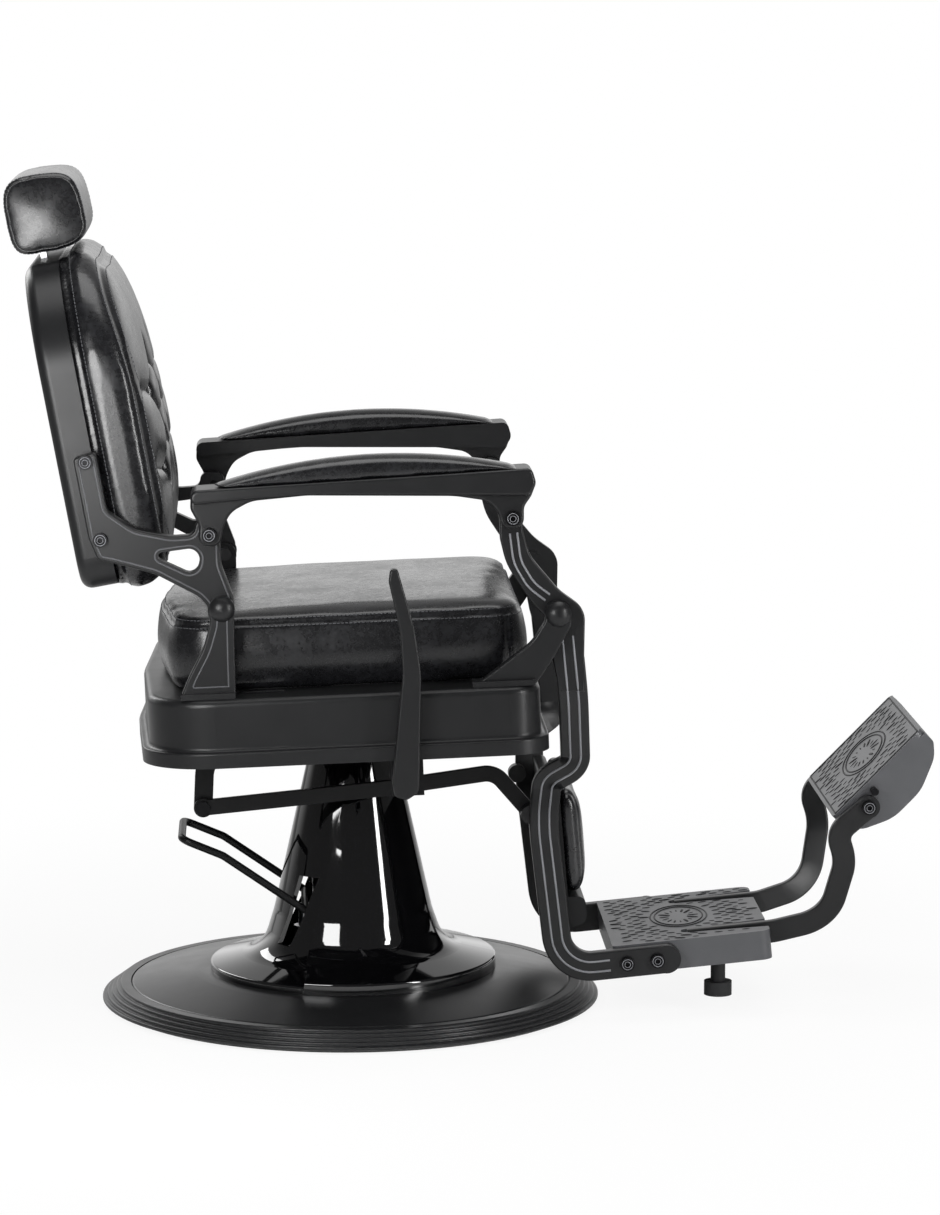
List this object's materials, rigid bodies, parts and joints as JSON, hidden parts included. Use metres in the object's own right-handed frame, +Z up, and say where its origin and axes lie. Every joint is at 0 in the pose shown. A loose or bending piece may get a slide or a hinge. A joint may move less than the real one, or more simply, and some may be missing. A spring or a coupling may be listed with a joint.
{
  "type": "barber chair",
  "caption": "Reclining barber chair on a round pump base, with tufted back, sliding headrest, linked armrests, swinging leg rest and flip-over foot plate.",
  "frame": {"origin": "centre of the round base on the floor", "axes": "+Z up, +X the way the sitter faces, +Y the sitter's left"},
  "size_m": [1.1841, 0.656, 1.0886],
  "materials": {
    "black_cast_iron": "satin black paint",
    "trim_rubber": "satin",
    "foot_rubber": "matte",
    "machined_steel": "satin",
    "gloss_cover": "gloss",
    "dark_steel": "satin",
    "black_casting": "satin powder coat",
    "foot_casting": "matte",
    "fasteners": "satin",
    "plywood": "matte",
    "upholstery": "satin coated fabric"
  },
  "bodies": {
    "base": {"base_plate": "black_cast_iron", "base_trim_ring": "trim_rubber", "pump_cylinder": "machined_steel", "pump_bolts": "fasteners", "pump_gland": "machined_steel", "column_cover_front": "gloss_cover", "column_cover_rear": "gloss_cover"},
    "lift": {"ram": "machined_steel", "ram_piston": "machined_steel"},
    "seat": {"seat_carrier": "dark_steel", "seat_shell": "black_casting", "seat_board": "plywood", "seat_cushion": "upholstery", "rear_bracket_left": "black_casting", "rear_bracket_right": "black_casting", "front_bracket_left": "black_casting", "front_bracket_right": "black_casting", "bracket_screws": "fasteners", "rear_pivot_pins": "fasteners", "front_pivot_pins": "fasteners", "gas_spring_cylinder": "dark_steel", "lever_bracket": "dark_steel"},
    "back": {"back_arm_left": "black_casting", "back_arm_right": "black_casting", "back_arm_screws": "fasteners", "back_shell": "black_casting", "back_board": "plywood", "back_cushion": "upholstery", "headrest_socket": "dark_steel"},
    "headrest": {"headrest_bar": "machined_steel", "headrest_board": "plywood", "headrest_cushion": "upholstery"},
    "armrest_left": {"armrest_frame_left": "black_casting", "armrest_pad_left": "upholstery", "armrest_screws_left": "fasteners"},
    "armrest_right": {"armrest_frame_right": "black_casting", "armrest_pad_right": "upholstery", "armrest_screws_right": "fasteners"},
    "legrest": {"leg_left": "black_casting", "leg_right": "black_casting", "calf_rods": "machined_steel", "calf_board": "plywood", "calf_pad": "upholstery", "foot_plate": "foot_casting", "foot_screws": "fasteners", "rubber_feet": "foot_rubber", "foot_arm_left": "black_casting", "foot_arm_right": "black_casting", "link_pin_front": "fasteners"},
    "flip": {"flip_plate": "foot_casting", "flip_case": "foot_casting", "flip_fittings": "fasteners"},
    "cradle": {"recline_cradle": "dark_steel"},
    "gas_rod": {"gas_spring_rod": "machined_steel"},
    "link": {"link_bar": "dark_steel", "link_pin_rear": "fasteners"},
    "pedal": {"pump_pedal": "dark_steel"},
    "plunger": {"pump_plunger": "machined_steel"},
    "lever": {"recline_lever": "black_casting", "lever_shaft": "machined_steel"}
  },
  "joints": [
    {"name": "lift_slide", "type": "slide", "parent": "base", "child": "lift", "axis": [0, 0, 1], "range_m": [0, 0.15]},
    {"name": "seat_swivel", "type": "hinge", "parent": "lift", "child": "seat", "pos_m": [0, 0, 0.34], "axis": [0, 0, 1], "continuous": true},
    {"name": "recline", "type": "hinge", "parent": "seat", "child": "back", "pos_m": [-0.163, 0, 0.557], "axis": [0, -1, 0], "range_deg": [0, 35]},
    {"name": "armrest_left_pivot", "type": "hinge", "parent": "back", "child": "armrest_left", "pos_m": [-0.178, 0.27, 0.651], "axis": [0, -1, 0], "range_deg": [-37.5, 0]},
    {"name": "armrest_right_pivot", "type": "hinge", "parent": "back", "child": "armrest_right", "pos_m": [-0.178, -0.27, 0.651], "axis": [0, -1, 0], "range_deg": [-37.5, 0]},
    {"name": "leg_swing", "type": "hinge", "parent": "seat", "child": "legrest", "pos_m": [0.254, 0, 0.548], "axis": [0, -1, 0], "range_deg": [0, 27.9]},
    {"name": "cradle_pivot", "type": "hinge", "parent": "seat", "child": "cradle", "pos_m": [-0.163, 0, 0.557], "axis": [0, -1, 0], "range_deg": [0, 27.9]},
    {"name": "link_pivot", "type": "hinge", "parent": "legrest", "child": "link", "pos_m": [0.227, -0.135, 0.271], "axis": [0, -1, 0], "range_deg": [-27.9, 0]},
    {"name": "gas_rod_pivot", "type": "hinge", "parent": "cradle", "child": "gas_rod", "pos_m": [-0.199, -0.105, 0.412], "axis": [0, -1, 0], "range_deg": [-27.9, 0]},
    {"name": "flip_plate_pivot", "type": "hinge", "parent": "legrest", "child": "flip", "pos_m": [0.6615, 0, 0.2765], "axis": [0, -1, 0], "range_deg": [-80, 70]},
    {"name": "headrest_slide", "type": "slide", "parent": "back", "child": "headrest", "axis": [-0.1805, 0, 0.9836], "range_m": [0, 0.1]},
    {"name": "pedal_press", "type": "hinge", "parent": "base", "child": "pedal", "pos_m": [0, 0, 0.09], "axis": [0, 1, 0], "range_deg": [-18, 0], "stiffness_Nm_per_rad": 12, "springref_deg": 17.19},
    {"name": "plunger_stroke", "type": "slide", "parent": "base", "child": "plunger", "axis": [0, 0, 1], "range_m": [-0.021, 0]},
    {"name": "lever_pull", "type": "hinge", "parent": "seat", "child": "lever", "pos_m": [0.062, -0.25, 0.339], "axis": [0, -1, 0], "range_deg": [0, 20], "stiffness_Nm_per_rad": 6, "springref_deg": -8.59}
  ],
  "couplings": [
    {"joint": "armrest_left_pivot", "follows": "recline", "ratio": -1.071},
    {"joint": "armrest_right_pivot", "follows": "recline", "ratio": -1.071},
    {"joint": "leg_swing", "follows": "recline", "ratio": 0.7959},
    {"joint": "cradle_pivot", "follows": "recline", "ratio": 0.7959},
    {"joint": "link_pivot", "follows": "recline", "ratio": -0.7959},
    {"joint": "gas_rod_pivot", "follows": "recline", "ratio": -0.7959},
    {"joint": "plunger_stroke", "follows": "pedal_press", "m_per_rad": 0.0665}
  ]
}
